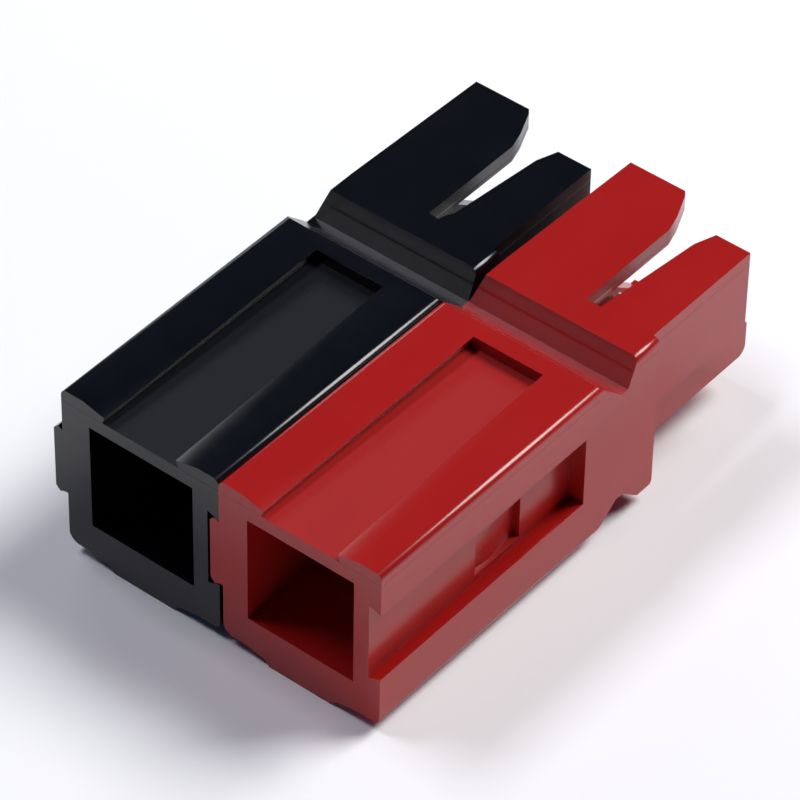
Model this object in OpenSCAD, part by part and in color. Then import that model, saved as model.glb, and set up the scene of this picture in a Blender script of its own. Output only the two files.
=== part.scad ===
// Two-pole genderless power connector: two identical moulded housings, side by side,
// each with a crimp contact and a leaf spring. A mate is a copy turned over end to end.

/* [Housing] */
// Width and height of one housing, and the spacing of the two
pitch = 7.9; // [7.9:0.1:8.4]
// Length of one housing, from the wire end to the tip of the hood
total_len = 24.6; // [24.6:0.1:26]
// Length of the square body, from the wire end to its front face
body_len = 16.95; // [16.9:0.05:17.3]
// Radius along the long edges of the body
edge_r = 0.3; // [0.2:0.05:0.4]

/* [Wire entry] */
// Side of the square wire entry
entry_w = 5.2; // [5:0.1:5.4]
// Depth of the square wire entry
entry_depth = 12.2; // [12:0.1:12.4]

/* [Dovetails] */
// Width of a channel at its mouth
channel_w = 3.4; // [3.3:0.05:3.5]
// How far each flank of a channel is undercut
undercut = 0.2; // [0.15:0.05:0.25]
// Depth of the top channel
top_channel_depth = 0.56; // [0.5:0.02:0.6]
// Depth of the side channel at the wire end
side_channel_depth = 0.57; // [0.55:0.01:0.6]
// Depth of the side channel at its front stop
side_channel_end_depth = 0.76; // [0.7:0.02:0.8]
// Length of the channels
channel_len = 12.42; // [12.3:0.02:12.5]
// Height of the ridges
ridge_h = 0.45; // [0.4:0.01:0.5]
// Clearance of a ridge in its channel, on each flank
ridge_gap = 0.08; // [0.06:0.01:0.1]

/* [Grooves] */
// Distance from the wire end to the start of the cross grooves
groove_start = 13.2; // [13.1:0.1:13.3]
// Depth of the groove across the top
top_groove_depth = 1.27; // [1.1:0.01:1.35]
// Depth of the groove across the bottom
bottom_groove_depth = 1.05; // [0.9:0.05:1.1]

/* [Hood] */
// Width of the hood
hood_w = 7.15; // [7.1:0.05:7.2]
// Thickness of the hood's top plate
hood_plate = 0.78; // [0.7:0.02:0.9]
// Inside width of the hood
hood_inner_w = 5.8; // [5.75:0.05:5.85]
// How much shorter the outer prong is than the inner one
prong_step = 1.35; // [1.2:0.05:1.6]

/* [Tongue] */
// Width of the tongue that carries the spring and the contact
tongue_w = 5.6; // [5.5:0.05:5.65]
// Height of the underside of the tongue above the bottom of the body
tongue_bottom = 1.28; // [1.2:0.02:1.35]
// Thickness of the floor of the tongue
tongue_floor = 0.72; // [0.6:0.02:0.8]

/* [Contact] */
// Inside radius of the crimp barrel
barrel_bore_r = 1.45; // [1.4:0.05:1.5]
// Wall of the crimp barrel
barrel_wall = 0.55; // [0.5:0.05:0.6]
// Depth of the crimp barrel
barrel_depth = 6; // [5.8:0.1:6.2]
// Width of the blade
blade_w = 4; // [3.8:0.05:4.05]
// Thickness of the blade
blade_t = 0.8; // [0.75:0.05:0.85]

/* [Spring] */
// Width of the leaf spring
spring_w = 3.3; // [3:0.1:3.4]
// Thickness of the leaf spring
spring_t = 0.35; // [0.3:0.01:0.35]

/* [Hidden] */

red = [0.72, 0.13, 0.10];
black = [0.09, 0.10, 0.13];
silver = [0.82, 0.82, 0.80];
steel = [0.62, 0.63, 0.65];

cut = 1;                    // how far cutters run past a face
bond = 0.4;                 // how far joined forms run into each other
axis_x = 4;                 // middle of the entry, channels, hood and contact, across
axis_z = 4.1;               // middle of the entry and the side channel, in height
mid_z = pitch / 2;          // plane in which two mated contacts meet
mate_gap = 0.03;            // half the gap that mated hoods keep at that plane

ridge_w = channel_w + 2 * undercut - 4 * ridge_gap;
ridge_root_w = channel_w - 2 * ridge_gap;
ridge_len = channel_len - 0.1;
ridge_chamfer = 0.22;

groove_slope = 1.4;         // length of a cross groove's gentle side
groove_floor = 0.4;         // length of its floor
groove_floor_start = groove_start + groove_slope;
groove_floor_end = groove_floor_start + groove_floor;
top_groove_end = groove_floor_end + 0.55;
bottom_groove_end = groove_floor_end + 1.3;
nose_r = 0.5;               // rounding of the body's lower front edge

wall_relief = 0.17;         // how far the wall stands back below the side ridge
wall_relief_r = 0.5;        // rounding of the corner below it

facet_reach = 1.15;         // how far the tapered facets reach beside a channel
facet_drop = 0.27;          // how far they drop at the wire end
flank_gap = 0.05;           // how much less the flanks of the bottom ridge drop
flank_seat = 0.1;           // how far they run into the ridge

hood_left = axis_x - hood_w / 2;
hood_right = axis_x + hood_w / 2;
hood_bottom = mid_z + mate_gap;
hood_ceiling = pitch - hood_plate;
hood_inner_len = total_len - body_len + cut;
short_prong_end = total_len - prong_step;
hood_draft = 0.2;           // how far the hood's inner side leans in, from its root to its tip
relief_foot = 0.05;         // where the slanted relief of the hood's root starts, across

slot_left = 4.3;
slot_rear = body_len - 0.05;
slot_rear_right = 5;
slot_front_right = 5.55;
slot_flare = 0.35;
flare_len = 1;
// Slanted corner of the longer prong: [how far in from the slot, how far back from the tip]
prong_corner = [[0, 2.3], [0.24, 1.47], [0.77, 0.23], [0.95, 0]];

tongue_top = tongue_bottom + tongue_floor;
tongue_end = total_len - 0.05;
tongue_nose_r = 0.45;
rib_w = 0.6;
rib_top = mid_z - 0.2;
rib_seat = 0.2;             // how far a rib runs into the tongue's floor
inner_rib_end = 21.9;
inner_rib_nose = [tongue_end - 0.4, tongue_top + 0.1];
outer_rib_end = 23.4;
outer_rib_nose = [tongue_end, tongue_top + 0.9];

barrel_start = 5;
barrel_end = barrel_start + barrel_depth;
barrel_r = barrel_bore_r + barrel_wall;
barrel_mouth = 0.25;
barrel_mid_z = axis_z;
neck_len = 1.8;
blade_top = mid_z - 0.02;
blade_bottom = blade_top - blade_t;
blade_start = barrel_end + neck_len;
blade_end = 22.3;
blade_taper = 1.6;
blade_tip_w = 2.7;
tip_hook = 0.65;
seam_w = 0.14;
seam_depth = 0.2;

passage_w = blade_w + 0.2;
passage_top = 5.1;
spring_bed_w = spring_w + 0.1;

spring_start = 13.3;
spring_end = 21.3;
spring_slack = 0.02;        // gap between the crown of the spring and the blade
spring_rise = blade_bottom - tongue_top - spring_t - spring_slack;
spring_half = (spring_end - spring_start) / 2;
spring_r = (spring_half * spring_half + spring_rise * spring_rise) / (2 * spring_rise);

detent_start = 6.5;
detent_end = 9.3;
detent_bottom = 2.55;
detent_top = 4.6;
detent_depth = 0.32;
detent_lead = 0.03;         // depth at the shallow end of each pocket
catch_end = 8.2;
catch_top = 3.5;
catch_depth = 0.3;

// The whole connector stands on its bottom ridges, over the middle of its outline
centre = [ridge_h / 2, -total_len / 2, ridge_h];

$fn = 64;

// Extrudes a side view, drawn as [length, height], from x0 to x1
module across(x0, x1) {
  translate([x0, 0, 0])
    rotate([90, 0, 90])
      linear_extrude(x1 - x0)
        children();
}

// Extrudes an end view, drawn as [width, height], from y0 to y1
module along(y0, y1) {
  translate([0, y1, 0])
    rotate([90, 0, 0])
      linear_extrude(y1 - y0)
        children();
}

// A square with four round corners, from [0, 0] to [size, size]
module round_square(size, r) {
  translate([r, 0])
    square([size - 2 * r, size]);
  translate([0, r])
    square([size, size - 2 * r]);
  for (x = [r, size - r], y = [r, size - r])
    translate([x, y])
      circle(r);
}

// Section of a channel, drawn downwards from its mouth at y = 0
module channel_section(depth) {
  mouth = channel_w / 2;
  flat = mouth + undercut;
  polygon([[-mouth, cut], [mouth, cut], [mouth, 0], [flat, -depth], [-flat, -depth], [-mouth, 0]]);
}

// Section of a ridge, drawn downwards from its root at y = 0
module ridge_section() {
  root = ridge_root_w / 2;
  wide = ridge_w / 2;
  shoulder = ridge_h - ridge_chamfer;
  polygon([
    [-root, bond], [root, bond], [root, 0], [wide, -shoulder],
    [wide - ridge_chamfer, -ridge_h], [ridge_chamfer - wide, -ridge_h], [-wide, -shoulder], [-root, 0]
  ]);
}

// Side view of a cross groove, drawn upwards from the face at y = 0
module groove_view(depth, groove_end) {
  polygon([
    [groove_start, -cut], [groove_start, 0], [groove_floor_start, depth],
    [groove_floor_end, depth], [groove_end, 0], [groove_end, -cut]
  ]);
}

// What rounding takes off a lower front corner at [0, 0]
module nose_cut(r) {
  translate([-r, 0])
    difference() {
      translate([0, -cut])
        square([r + cut, r + cut]);
      translate([0, r])
        circle(r);
    }
}

// Side view of the body, with the cross grooves and the rounded lower front edge
module body_side_view() {
  difference() {
    square([body_len, pitch]);
    translate([0, pitch])
      mirror([0, 1])
        groove_view(top_groove_depth, top_groove_end);
    groove_view(bottom_groove_depth, bottom_groove_end);
    translate([body_len, 0])
      nose_cut(nose_r);
  }
}

// Square body: its end view run along it, cut to its side view
module body_block() {
  intersection() {
    along(0, body_len)
      round_square(pitch, edge_r);
    across(-cut, pitch + cut)
      body_side_view();
  }
}

// Tapered facet beside the top channel: deep at the wire end, gone at the channel's stop
module lip_facet(side) {
  inner = side * channel_w / 2;
  outer = side * (channel_w / 2 + facet_reach);
  translate([axis_x, 0, pitch])
    polyhedron(
      points = [[inner, 0, -facet_drop], [outer, 0, 0], [inner, channel_len, 0], [inner - side * cut, 0, 0]],
      faces = side > 0 ? [[0, 1, 2], [0, 3, 1], [1, 3, 2], [0, 2, 3]] : [[0, 2, 1], [0, 1, 3], [1, 2, 3], [0, 3, 2]]
    );
}

module top_channel() {
  translate([axis_x, 0, pitch])
    along(-cut, channel_len)
      channel_section(top_channel_depth);
}

// The side channel deepens towards its stop
module side_channel() {
  fall = atan((side_channel_end_depth - side_channel_depth) / channel_len);
  translate([pitch, 0, axis_z])
    rotate([0, 0, fall])
      along(-cut, channel_len)
        rotate([0, 0, -90])
          channel_section(side_channel_depth);
}

// Where the floor of the side channel lies, at a distance y from the wire end
function side_floor(y) =
  pitch - side_channel_depth - (side_channel_end_depth - side_channel_depth) * y / channel_len;

// Pocket in that floor, ramped from one depth to another
module side_pocket(top, end, start_depth, end_depth) {
  translate([0, 0, detent_bottom])
    linear_extrude(top - detent_bottom)
      polygon([
        [side_floor(detent_start) + bond, detent_start],
        [side_floor(detent_start) - start_depth, detent_start],
        [side_floor(end) - end_depth, end],
        [side_floor(end) + bond, end]
      ]);
}

// Detent in the side channel: a ramp down to a stop, and a catch at its lower rear corner
module side_detent() {
  side_pocket(detent_top, detent_end, detent_lead, detent_depth);
  side_pocket(catch_top, catch_end, catch_depth, detent_lead);
}

// The wall below the side ridge stands back, so that neighbours don't bind there
module side_wall_relief() {
  ridge_foot = axis_z - ridge_root_w / 2;
  along(-cut, ridge_len)
    union() {
      polygon([[-cut, -cut], [wall_relief, -cut], [wall_relief, ridge_foot], [0, ridge_foot], [-cut, 0]]);
      translate([wall_relief, 0])
        mirror([1, 0])
          nose_cut(wall_relief_r);
    }
}

module bottom_ridge() {
  translate([axis_x, 0, 0])
    along(0, ridge_len)
      ridge_section();
}

// Tapered flank beside the bottom ridge, which lies in the facet of a housing below
module ridge_flank(side) {
  inner = side * (ridge_root_w / 2 - flank_seat);
  outer = side * (ridge_root_w / 2 + facet_reach);
  drop = facet_drop - flank_gap;
  translate([axis_x, 0, 0])
    polyhedron(
      points = [[inner, 0, -drop], [outer, 0, 0], [inner, ridge_len, 0], [inner, 0, bond]],
      faces = side > 0 ? [[0, 1, 2], [0, 3, 1], [1, 3, 2], [0, 2, 3]] : [[0, 2, 1], [0, 1, 3], [1, 2, 3], [0, 3, 2]]
    );
}

module side_ridge() {
  translate([0, 0, axis_z])
    along(0, ridge_len)
      rotate([0, 0, -90])
        ridge_section();
}

// Top view of the hood: two prongs of unequal length beside a slot that opens out
module hood_top_view() {
  difference() {
    polygon([
      [hood_left, groove_floor_end], [hood_right, groove_floor_end], [hood_right, total_len],
      [hood_left + hood_draft, total_len], [hood_left, body_len]
    ]);
    // the shorter, outer prong
    polygon([
      [slot_left, short_prong_end], [hood_right + cut, short_prong_end],
      [hood_right + cut, total_len + cut], [slot_left, total_len + cut]
    ]);
    // the slot, with its outer side tapered and flared at the mouth
    polygon([
      [slot_left, slot_rear], [slot_rear_right, slot_rear], [slot_front_right, short_prong_end - flare_len],
      [slot_front_right + slot_flare, short_prong_end], [slot_front_right + slot_flare, total_len],
      [slot_left, total_len]
    ]);
    // the slanted corner of the longer, inner prong
    polygon([
      for (step = prong_corner)
        [slot_left - step[0], total_len - step[1]],
      [slot_left - prong_corner[3][0], total_len + cut], [slot_left + cut, total_len + cut],
      [slot_left + cut, total_len - prong_corner[0][1]]
    ]);
  }
}

// Hood: the top view pushed down to the mating plane, hollowed between its side walls
module hood() {
  difference() {
    translate([0, 0, hood_bottom])
      linear_extrude(pitch - hood_bottom)
        hood_top_view();
    translate([axis_x - hood_inner_w / 2, body_len, hood_bottom - cut])
      cube([hood_inner_w, hood_inner_len, hood_ceiling - hood_bottom + cut]);
    hood_root_cut();
  }
}

// The front face of the groove carries on up into the hood's root
module hood_root_cut() {
  across(-cut, pitch + cut)
    polygon([
      [groove_floor_end - cut, pitch - top_groove_depth], [groove_floor_end, pitch - top_groove_depth],
      [top_groove_end, pitch], [top_groove_end, pitch + cut], [groove_floor_end - cut, pitch + cut]
    ]);
}

// Slanted relief on the inner side of the hood's root
module root_relief() {
  along(groove_floor_end - relief_foot, body_len + cut)
    polygon([
      [-cut, pitch + cut], [hood_left, pitch + cut], [hood_left, pitch],
      [relief_foot, pitch - top_groove_depth], [-cut, pitch - top_groove_depth]
    ]);
}

// Side view of the tongue's floor, with a rounded lower front edge
module tongue_side_view() {
  difference() {
    translate([body_len - bond, tongue_bottom])
      square([tongue_end - body_len + bond, tongue_floor]);
    translate([tongue_end, tongue_bottom])
      nose_cut(tongue_nose_r);
  }
}

// Side view of a rib: level, then sloping down from slope_start to its nose
module rib_side_view(slope_start, nose) {
  foot = tongue_top - rib_seat;
  polygon([
    [body_len - bond, foot], [body_len - bond, rib_top], [slope_start, rib_top],
    [nose[0], nose[1]], [nose[0], foot]
  ]);
}

// Tongue: a floor between two ribs that guide the spring and the blade
module tongue() {
  left = axis_x - tongue_w / 2;
  right = axis_x + tongue_w / 2;
  across(left, right)
    tongue_side_view();
  across(left, left + rib_w)
    rib_side_view(inner_rib_end, inner_rib_nose);
  across(right - rib_w, right)
    rib_side_view(outer_rib_end, outer_rib_nose);
}

// Square wire entry, then the stepped passage for the blade over the spring
module wire_passage() {
  translate([axis_x - entry_w / 2, -cut, axis_z - entry_w / 2])
    cube([entry_w, entry_depth + cut, entry_w]);
  translate([axis_x - passage_w / 2, entry_depth - bond, blade_bottom])
    cube([passage_w, body_len - entry_depth + bond + cut, passage_top - blade_bottom]);
  translate([axis_x - spring_bed_w / 2, entry_depth - bond, tongue_top])
    cube([spring_bed_w, body_len - entry_depth + bond + cut, blade_bottom - tongue_top + bond]);
}

module housing() {
  difference() {
    union() {
      body_block();
      bottom_ridge();
      ridge_flank(-1);
      ridge_flank(1);
      side_ridge();
      hood();
      tongue();
    }
    wire_passage();
    top_channel();
    lip_facet(-1);
    lip_facet(1);
    side_channel();
    side_detent();
    side_wall_relief();
    root_relief();
  }
}

// Plan of the blade, narrowing to its tip
module blade_plan() {
  half = blade_w / 2;
  tip = blade_tip_w / 2;
  polygon([
    [axis_x - half, blade_start - bond], [axis_x + half, blade_start - bond],
    [axis_x + half, blade_end - blade_taper], [axis_x + tip, blade_end],
    [axis_x - tip, blade_end], [axis_x - half, blade_end - blade_taper]
  ]);
}

// Side view of the blade, with the tip bent down in front of the spring
module blade_side_view() {
  bend = blade_end - blade_t;
  difference() {
    translate([blade_start - bond, blade_bottom - tip_hook])
      square([blade_end - blade_start + bond, blade_t + tip_hook]);
    translate([blade_start - bond - cut, blade_bottom - tip_hook - cut])
      square([bend - blade_start + bond + cut, tip_hook + cut]);
    translate([bend, blade_top - blade_t])
      difference() {
        square([blade_t + cut, blade_t + cut]);
        circle(blade_t);
      }
  }
}

module barrel() {
  difference() {
    translate([axis_x, barrel_start, barrel_mid_z])
      rotate([-90, 0, 0])
        cylinder(h = barrel_depth + bond, r = barrel_r);
    translate([axis_x, barrel_start - cut, barrel_mid_z])
      rotate([-90, 0, 0])
        cylinder(h = barrel_depth + cut, r = barrel_bore_r);
    translate([axis_x, barrel_start - 0.01, barrel_mid_z])
      rotate([-90, 0, 0])
        cylinder(h = barrel_mouth, r1 = barrel_bore_r + barrel_mouth, r2 = barrel_bore_r);
    translate([axis_x - seam_w / 2, barrel_start - cut, barrel_mid_z + barrel_r - seam_depth])
      cube([seam_w, barrel_depth + cut, cut]);
  }
}

// Where the round barrel is pressed flat into the blade
module neck() {
  intersection() {
    translate([axis_x, barrel_end, barrel_mid_z])
      rotate([-90, 0, 0])
        cylinder(h = neck_len + bond, r = barrel_r);
    across(axis_x - blade_w / 2, axis_x + blade_w / 2)
      polygon([
        [barrel_end, barrel_mid_z - barrel_r], [blade_start, blade_bottom], [blade_start + bond, blade_bottom],
        [blade_start + bond, blade_top], [blade_start, blade_top], [barrel_end, barrel_mid_z + barrel_r]
      ]);
  }
}

module contact() {
  barrel();
  neck();
  intersection() {
    linear_extrude(pitch)
      blade_plan();
    across(0, pitch)
      blade_side_view();
  }
}

// Arched leaf: both ends on the tongue's floor, the crown under the blade
module leaf_spring() {
  crown_y = (spring_start + spring_end) / 2;
  centre_z = tongue_top + spring_rise - spring_r;
  intersection() {
    translate([axis_x - spring_w / 2, spring_start, tongue_top])
      cube([spring_w, spring_end - spring_start, spring_rise + spring_t + cut]);
    difference() {
      translate([axis_x - spring_w / 2, crown_y, centre_z])
        rotate([0, 90, 0])
          cylinder(h = spring_w, r = spring_r + spring_t, $fn = 256);
      translate([axis_x - spring_w / 2 - cut, crown_y, centre_z])
        rotate([0, 90, 0])
          cylinder(h = spring_w + 2 * cut, r = spring_r, $fn = 256);
    }
  }
}

// Puts a housing's own frame in its place: pole 0 is the outer one, pole 1 its neighbour
module pole(number) {
  translate(centre - [number * pitch, 0, 0])
    children();
}

module housing_red() {
  color(red)
    pole(0)
      housing();
}

module housing_black() {
  color(black)
    pole(1)
      housing();
}

module contact_red() {
  color(silver)
    pole(0)
      contact();
}

module contact_black() {
  color(silver)
    pole(1)
      contact();
}

module spring_red() {
  color(steel)
    pole(0)
      leaf_spring();
}

module spring_black() {
  color(steel)
    pole(1)
      leaf_spring();
}

housing_red();
housing_black();
contact_red();
contact_black();
spring_red();
spring_black();
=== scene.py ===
"""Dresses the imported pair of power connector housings: rounded edges, materials, light and camera.

The two housings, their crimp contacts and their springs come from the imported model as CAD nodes.
Each one is copied, its loose triangles are joined, and its edges are rounded with the bevel tool, so
that the copy stands for the node at the same place and size. Everything is in metres, in the row frame.
"""

import math

import bpy
from mathutils import Matrix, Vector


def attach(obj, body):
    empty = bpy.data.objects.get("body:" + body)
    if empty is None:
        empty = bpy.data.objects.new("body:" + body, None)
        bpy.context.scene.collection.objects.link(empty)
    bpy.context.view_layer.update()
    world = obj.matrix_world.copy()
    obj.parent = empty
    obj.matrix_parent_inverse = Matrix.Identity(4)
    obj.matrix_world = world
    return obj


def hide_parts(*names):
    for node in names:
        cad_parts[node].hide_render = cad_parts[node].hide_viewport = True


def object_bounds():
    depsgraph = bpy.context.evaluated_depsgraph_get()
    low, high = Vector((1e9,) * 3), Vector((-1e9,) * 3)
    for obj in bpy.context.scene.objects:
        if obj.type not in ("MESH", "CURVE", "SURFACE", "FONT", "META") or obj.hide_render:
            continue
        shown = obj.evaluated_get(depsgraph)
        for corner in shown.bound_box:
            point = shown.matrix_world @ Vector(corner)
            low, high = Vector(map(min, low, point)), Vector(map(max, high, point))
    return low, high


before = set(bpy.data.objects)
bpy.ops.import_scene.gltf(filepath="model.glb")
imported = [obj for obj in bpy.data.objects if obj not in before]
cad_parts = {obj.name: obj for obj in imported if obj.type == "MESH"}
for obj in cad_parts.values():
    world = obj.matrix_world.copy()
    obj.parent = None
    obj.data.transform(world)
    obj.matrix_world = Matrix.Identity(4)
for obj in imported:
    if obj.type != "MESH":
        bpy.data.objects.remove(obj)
CAD_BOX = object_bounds()

MM = 0.001
BODY = "root"

# Edge rounding, as a moulder or a die maker would call it up.
MOULDED_ROUND = 0.07 * MM
STAMPED_ROUND = 0.04 * MM
ROUND_STEPS = 2
SHARP_EDGE = math.radians(28)
SMOOTH_UNDER = math.radians(40)
MERGE_UNDER = 0.002 * MM
FLAT_WITHIN = math.radians(0.6)

# Heights of one housing: its bottom ridge, its body and its top channel.
RIDGE = 0.45 * MM
BODY_TOP = 7.90 * MM
CHANNEL_DEPTH = 0.56 * MM

# The satin zone at the channel's floor: how far it reaches below and above, and how fast it fades.
SATIN_BELOW = 0.05 * MM
SATIN_ABOVE = 0.03 * MM
SATIN_FADE = 0.02 * MM

FLOOR_SIZE = 6.0
LAMP_DISTANCE = 0.60

# The camera: its place, the lens, and its three axes as rows.
CAMERA_PLACE = (93.3695 * MM, -118.7350 * MM, 143.4425 * MM)
CAMERA_RIGHT = (0.77497705, 0.63183942, 0.01376632)
CAMERA_UP = (-0.43719362, 0.52025206, 0.73362084)
CAMERA_BACK = (0.45636861, -0.57455786, 0.67941957)
LENS = 235.35
SENSOR = 36.0


# ---------------------------------------------------------------- selecting

def select_only(piece):
    """Leaves one object selected and active, in object mode."""
    if bpy.context.object and bpy.context.object.mode != "OBJECT":
        bpy.ops.object.mode_set(mode="OBJECT")
    bpy.ops.object.select_all(action="DESELECT")
    piece.select_set(True)
    bpy.context.view_layer.objects.active = piece


# ---------------------------------------------------------------- pieces

def joined_copy(node_name, piece_name):
    """A copy of a CAD node whose loose triangles are joined into whole flat faces."""
    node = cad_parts[node_name]
    piece = bpy.data.objects.new(piece_name, node.data.copy())
    bpy.context.scene.collection.objects.link(piece)
    select_only(piece)
    bpy.ops.object.mode_set(mode="EDIT")
    bpy.ops.mesh.select_all(action="SELECT")
    bpy.ops.mesh.remove_doubles(threshold=MERGE_UNDER)
    bpy.ops.mesh.dissolve_limited(angle_limit=FLAT_WITHIN, use_dissolve_boundaries=False)
    bpy.ops.object.mode_set(mode="OBJECT")
    return piece


def round_edges(piece, width):
    """Rounds every sharp edge, inner and outer, with the bevel modifier, and applies it."""
    select_only(piece)
    bevel = piece.modifiers.new("rounding", "BEVEL")
    bevel.width = width
    bevel.segments = ROUND_STEPS
    bevel.limit_method = "ANGLE"
    bevel.angle_limit = SHARP_EDGE
    bevel.miter_outer = "MITER_SHARP"
    bevel.use_clamp_overlap = True
    bevel.harden_normals = False
    bpy.ops.object.modifier_apply(modifier=bevel.name)
    bpy.ops.object.shade_smooth_by_angle(angle=SMOOTH_UNDER)
    weighted = piece.modifiers.new("flat faces stay flat", "WEIGHTED_NORMAL")
    weighted.keep_sharp = True
    weighted.mode = "FACE_AREA"
    bpy.ops.object.modifier_apply(modifier=weighted.name)


def stand_for(piece, node_name, material):
    """The piece takes the node's place, its body and its finish."""
    piece.data.materials.clear()
    piece.data.materials.append(material)
    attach(piece, BODY)
    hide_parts(node_name)


def moulded_housing(node_name, material):
    """One housing with the small rounds that the mould leaves on its edges."""
    piece = joined_copy(node_name, node_name + "_moulded")
    round_edges(piece, MOULDED_ROUND)
    stand_for(piece, node_name, material)


def stamped_part(node_name, material):
    """A contact or spring with the burr-free edges of a stamped part."""
    piece = joined_copy(node_name, node_name + "_stamped")
    round_edges(piece, STAMPED_ROUND)
    stand_for(piece, node_name, material)


# ---------------------------------------------------------------- materials

def new_material(name):
    """An empty node material with its shader and its Object coordinates."""
    material = bpy.data.materials.new(name)
    material.use_nodes = True
    nodes = material.node_tree.nodes
    nodes.clear()
    output = nodes.new("ShaderNodeOutputMaterial")
    shader = nodes.new("ShaderNodeBsdfPrincipled")
    place = nodes.new("ShaderNodeTexCoord")
    material.node_tree.links.new(shader.outputs["BSDF"], output.inputs["Surface"])
    return material, nodes, material.node_tree.links, shader, place.outputs["Object"]


def noise(nodes, links, place, scale, detail, stretch=None):
    """A noise texture on Object coordinates; stretch squeezes it along each axis."""
    texture = nodes.new("ShaderNodeTexNoise")
    texture.inputs["Scale"].default_value = scale
    texture.inputs["Detail"].default_value = detail
    if stretch:
        mapping = nodes.new("ShaderNodeMapping")
        mapping.inputs["Scale"].default_value = stretch
        links.new(place, mapping.inputs["Vector"])
        place = mapping.outputs["Vector"]
    links.new(place, texture.inputs["Vector"])
    return texture.outputs["Fac"]


def ramp(nodes, links, factor, low, high):
    """A colour ramp between two linear colours, steep over the middle of the pattern."""
    node = nodes.new("ShaderNodeValToRGB")
    node.color_ramp.elements[0].position = 0.3
    node.color_ramp.elements[0].color = (*low, 1)
    node.color_ramp.elements[1].position = 0.7
    node.color_ramp.elements[1].color = (*high, 1)
    links.new(factor, node.inputs["Fac"])
    return node.outputs["Color"]


def spread(nodes, links, factor, low, high):
    """Turns a 0 to 1 pattern into a value from low to high."""
    node = nodes.new("ShaderNodeMapRange")
    node.inputs["To Min"].default_value = low
    node.inputs["To Max"].default_value = high
    links.new(factor, node.inputs["Value"])
    return node.outputs["Result"]


def bump(nodes, links, height, strength, distance, under=None):
    """A bump node, over another one where under is given."""
    node = nodes.new("ShaderNodeBump")
    node.inputs["Strength"].default_value = strength
    node.inputs["Distance"].default_value = distance
    links.new(height, node.inputs["Height"])
    if under:
        links.new(under, node.inputs["Normal"])
    return node.outputs["Normal"]


def within(nodes, links, value, low, high, fade):
    """1 where a coordinate lies between low and high, falling to 0 over the fade on both sides."""
    rise = nodes.new("ShaderNodeMapRange")
    rise.inputs["From Min"].default_value = low - fade
    rise.inputs["From Max"].default_value = low
    links.new(value, rise.inputs["Value"])
    fall = nodes.new("ShaderNodeMapRange")
    fall.inputs["From Min"].default_value = high + fade
    fall.inputs["From Max"].default_value = high
    links.new(value, fall.inputs["Value"])
    both = nodes.new("ShaderNodeMath")
    both.operation = "MULTIPLY"
    links.new(rise.outputs["Result"], both.inputs[0])
    links.new(fall.outputs["Result"], both.inputs[1])
    return both.outputs["Value"]


def moulded_plastic(name, deep, bright, roughness, satin, ior):
    """Glossy moulded polycarbonate: faint flow shading, a fine grain and slow waves in the face.

    The floor of the top channel has the satin finish of a sliding core, the rest is polished.
    """
    material, nodes, links, shader, place = new_material(name)
    flow = noise(nodes, links, place, 260.0, 4.0, (1.0, 0.35, 1.0))
    links.new(ramp(nodes, links, flow, deep, bright), shader.inputs["Base Color"])
    axes = nodes.new("ShaderNodeSeparateXYZ")
    links.new(place, axes.inputs["Vector"])
    channel_floor = CAD_BOX[0][2] + RIDGE + BODY_TOP - CHANNEL_DEPTH
    floor_zone = within(
        nodes, links, axes.outputs["Z"], channel_floor - SATIN_BELOW, channel_floor + SATIN_ABOVE, SATIN_FADE)
    haze = noise(nodes, links, place, 900.0, 3.0)
    polished = spread(nodes, links, haze, roughness[0], roughness[1])
    finish = nodes.new("ShaderNodeMix")
    finish.data_type = "FLOAT"
    links.new(floor_zone, finish.inputs["Factor"])
    links.new(polished, finish.inputs["A"])
    finish.inputs["B"].default_value = satin
    links.new(finish.outputs["Result"], shader.inputs["Roughness"])
    grain = noise(nodes, links, place, 9000.0, 2.0)
    waves = noise(nodes, links, place, 420.0, 1.0)
    fine = bump(nodes, links, grain, 0.08, 0.00002)
    links.new(bump(nodes, links, waves, 0.10, 0.00006, fine), shader.inputs["Normal"])
    shader.inputs["IOR"].default_value = ior
    return material


def rolled_metal(name, deep, bright, roughness, grain_along):
    """Rolled and plated strip: a fine grain along the rolling and soft cloudy patches."""
    material, nodes, links, shader, place = new_material(name)
    patches = noise(nodes, links, place, 700.0, 4.0)
    links.new(ramp(nodes, links, patches, deep, bright), shader.inputs["Base Color"])
    lines = noise(nodes, links, place, 1.0, 3.0, grain_along)
    links.new(spread(nodes, links, lines, roughness[0], roughness[1]), shader.inputs["Roughness"])
    links.new(bump(nodes, links, lines, 0.15, 0.00001), shader.inputs["Normal"])
    shader.inputs["Metallic"].default_value = 1.0
    return material


def pale_floor():
    """The floor's finish: nearly white with a faint unevenness."""
    material, nodes, links, shader, place = new_material("pale_floor")
    mottle = noise(nodes, links, place, 6.0, 2.0)
    pale = ramp(nodes, links, mottle, (0.95, 0.95, 0.95), (0.965, 0.965, 0.965))
    links.new(pale, shader.inputs["Base Color"])
    shader.inputs["Roughness"].default_value = 0.9
    shader.inputs["Specular IOR Level"].default_value = 0.0
    return material


# ---------------------------------------------------------------- stage

def floor():
    """A plain floor under the part."""
    bpy.ops.object.select_all(action="DESELECT")
    bpy.ops.mesh.primitive_plane_add(size=FLOOR_SIZE, location=(0, 0, CAD_BOX[0][2]))
    plane = bpy.context.object
    plane.name = "floor"
    plane.data.materials.append(pale_floor())


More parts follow.
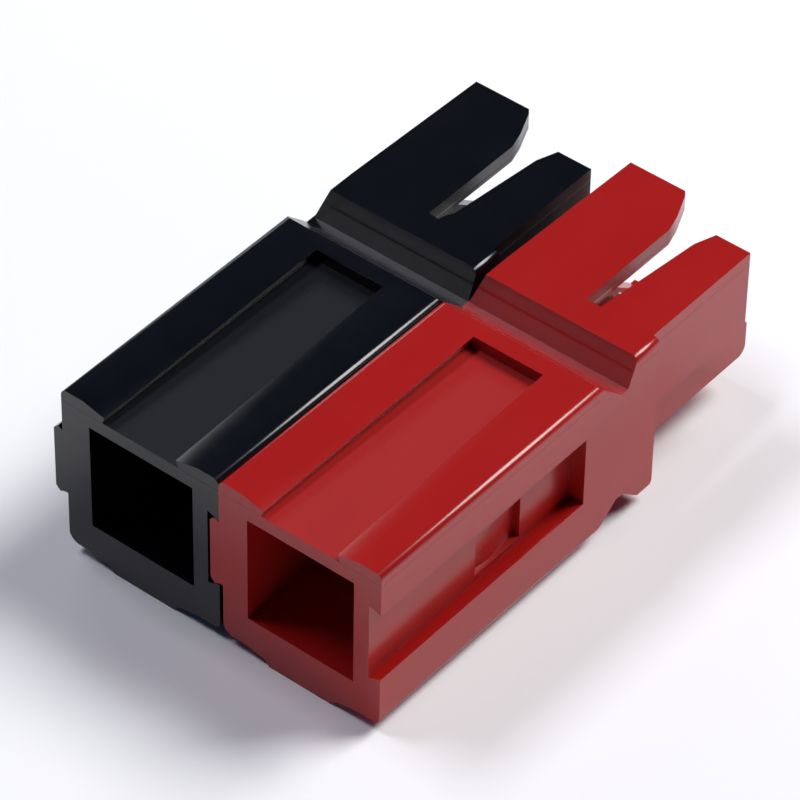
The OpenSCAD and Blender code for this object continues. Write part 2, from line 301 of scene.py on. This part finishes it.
def softbox(name, toward, width, height, power, colour):
    """A rectangular lamp in the direction toward, which isn't straight up, facing the part."""
    data = bpy.data.lights.new(name, "AREA")
    data.shape = "RECTANGLE"
    data.size = width
    data.size_y = height
    data.energy = power
    data.color = colour
    lamp = bpy.data.objects.new(name, data)
    bpy.context.scene.collection.objects.link(lamp)
    length = math.sqrt(sum(x * x for x in toward))
    back = [x / length for x in toward]
    place = [x * LAMP_DISTANCE for x in back]
    flat = math.hypot(back[0], back[1])
    side = (-back[1] / flat, back[0] / flat, 0.0)
    up = (back[1] * side[2] - back[2] * side[1],
          back[2] * side[0] - back[0] * side[2],
          back[0] * side[1] - back[1] * side[0])
    lamp.matrix_world = axes_matrix(side, up, back, place)


def axes_matrix(right, up, back, place):
    """A world matrix from three axes and a place."""
    return Matrix((
        (right[0], up[0], back[0], place[0]),
        (right[1], up[1], back[1], place[1]),
        (right[2], up[2], back[2], place[2]),
        (0, 0, 0, 1),
    ))


def studio_light():
    """Two softboxes, from behind on the right and from above on the left, a low strip and a dim room."""
    softbox("key_softbox", (0.30, 0.55, 0.78), 0.27, 0.27, 3.3, (1.0, 1.0, 1.0))
    softbox("top_softbox", (-0.48, -0.10, 0.87), 0.25, 0.14, 1.35, (0.93, 0.91, 1.0))
    softbox("low_strip", (-0.72, 0.575, 0.38), 0.25, 0.12, 0.28, (1.0, 1.0, 1.0))
    world = bpy.data.worlds.new("dim_room")
    bpy.context.scene.world = world
    world.use_nodes = True
    backdrop = world.node_tree.nodes["Background"]
    backdrop.inputs["Color"].default_value = (0.30, 0.50, 1.0, 1)
    backdrop.inputs["Strength"].default_value = 0.06


def camera():
    """The camera, from the wire end, above and to the right."""
    data = bpy.data.cameras.new("camera")
    data.lens = LENS
    data.sensor_width = SENSOR
    data.clip_start = 0.01
    eye = bpy.data.objects.new("camera", data)
    bpy.context.scene.collection.objects.link(eye)
    eye.matrix_world = axes_matrix(CAMERA_RIGHT, CAMERA_UP, CAMERA_BACK, CAMERA_PLACE)
    bpy.context.scene.camera = eye


# ---------------------------------------------------------------- the scene

camera()

red_plastic = moulded_plastic(
    "red_moulded_plastic", (0.360, 0.0085, 0.0070), (0.395, 0.0105, 0.0085), (0.18, 0.25), 0.38, 1.50)
black_plastic = moulded_plastic(
    "black_moulded_plastic", (0.0006, 0.0010, 0.0024), (0.0009, 0.0015, 0.0034), (0.18, 0.25), 0.38, 1.50)
silver_plating = rolled_metal(
    "silver_plating", (0.70, 0.68, 0.64), (0.84, 0.82, 0.78), (0.12, 0.20), (9000.0, 260.0, 9000.0))
spring_steel = rolled_metal(
    "spring_steel", (0.40, 0.41, 0.43), (0.52, 0.53, 0.55), (0.24, 0.38), (9000.0, 200.0, 9000.0))

moulded_housing("housing_red", red_plastic)
moulded_housing("housing_black", black_plastic)
for pole in ("red", "black"):
    stamped_part("contact_" + pole, silver_plating)
    stamped_part("spring_" + pole, spring_steel)

floor()
studio_light()
bpy.context.scene.view_settings.view_transform = "Standard"
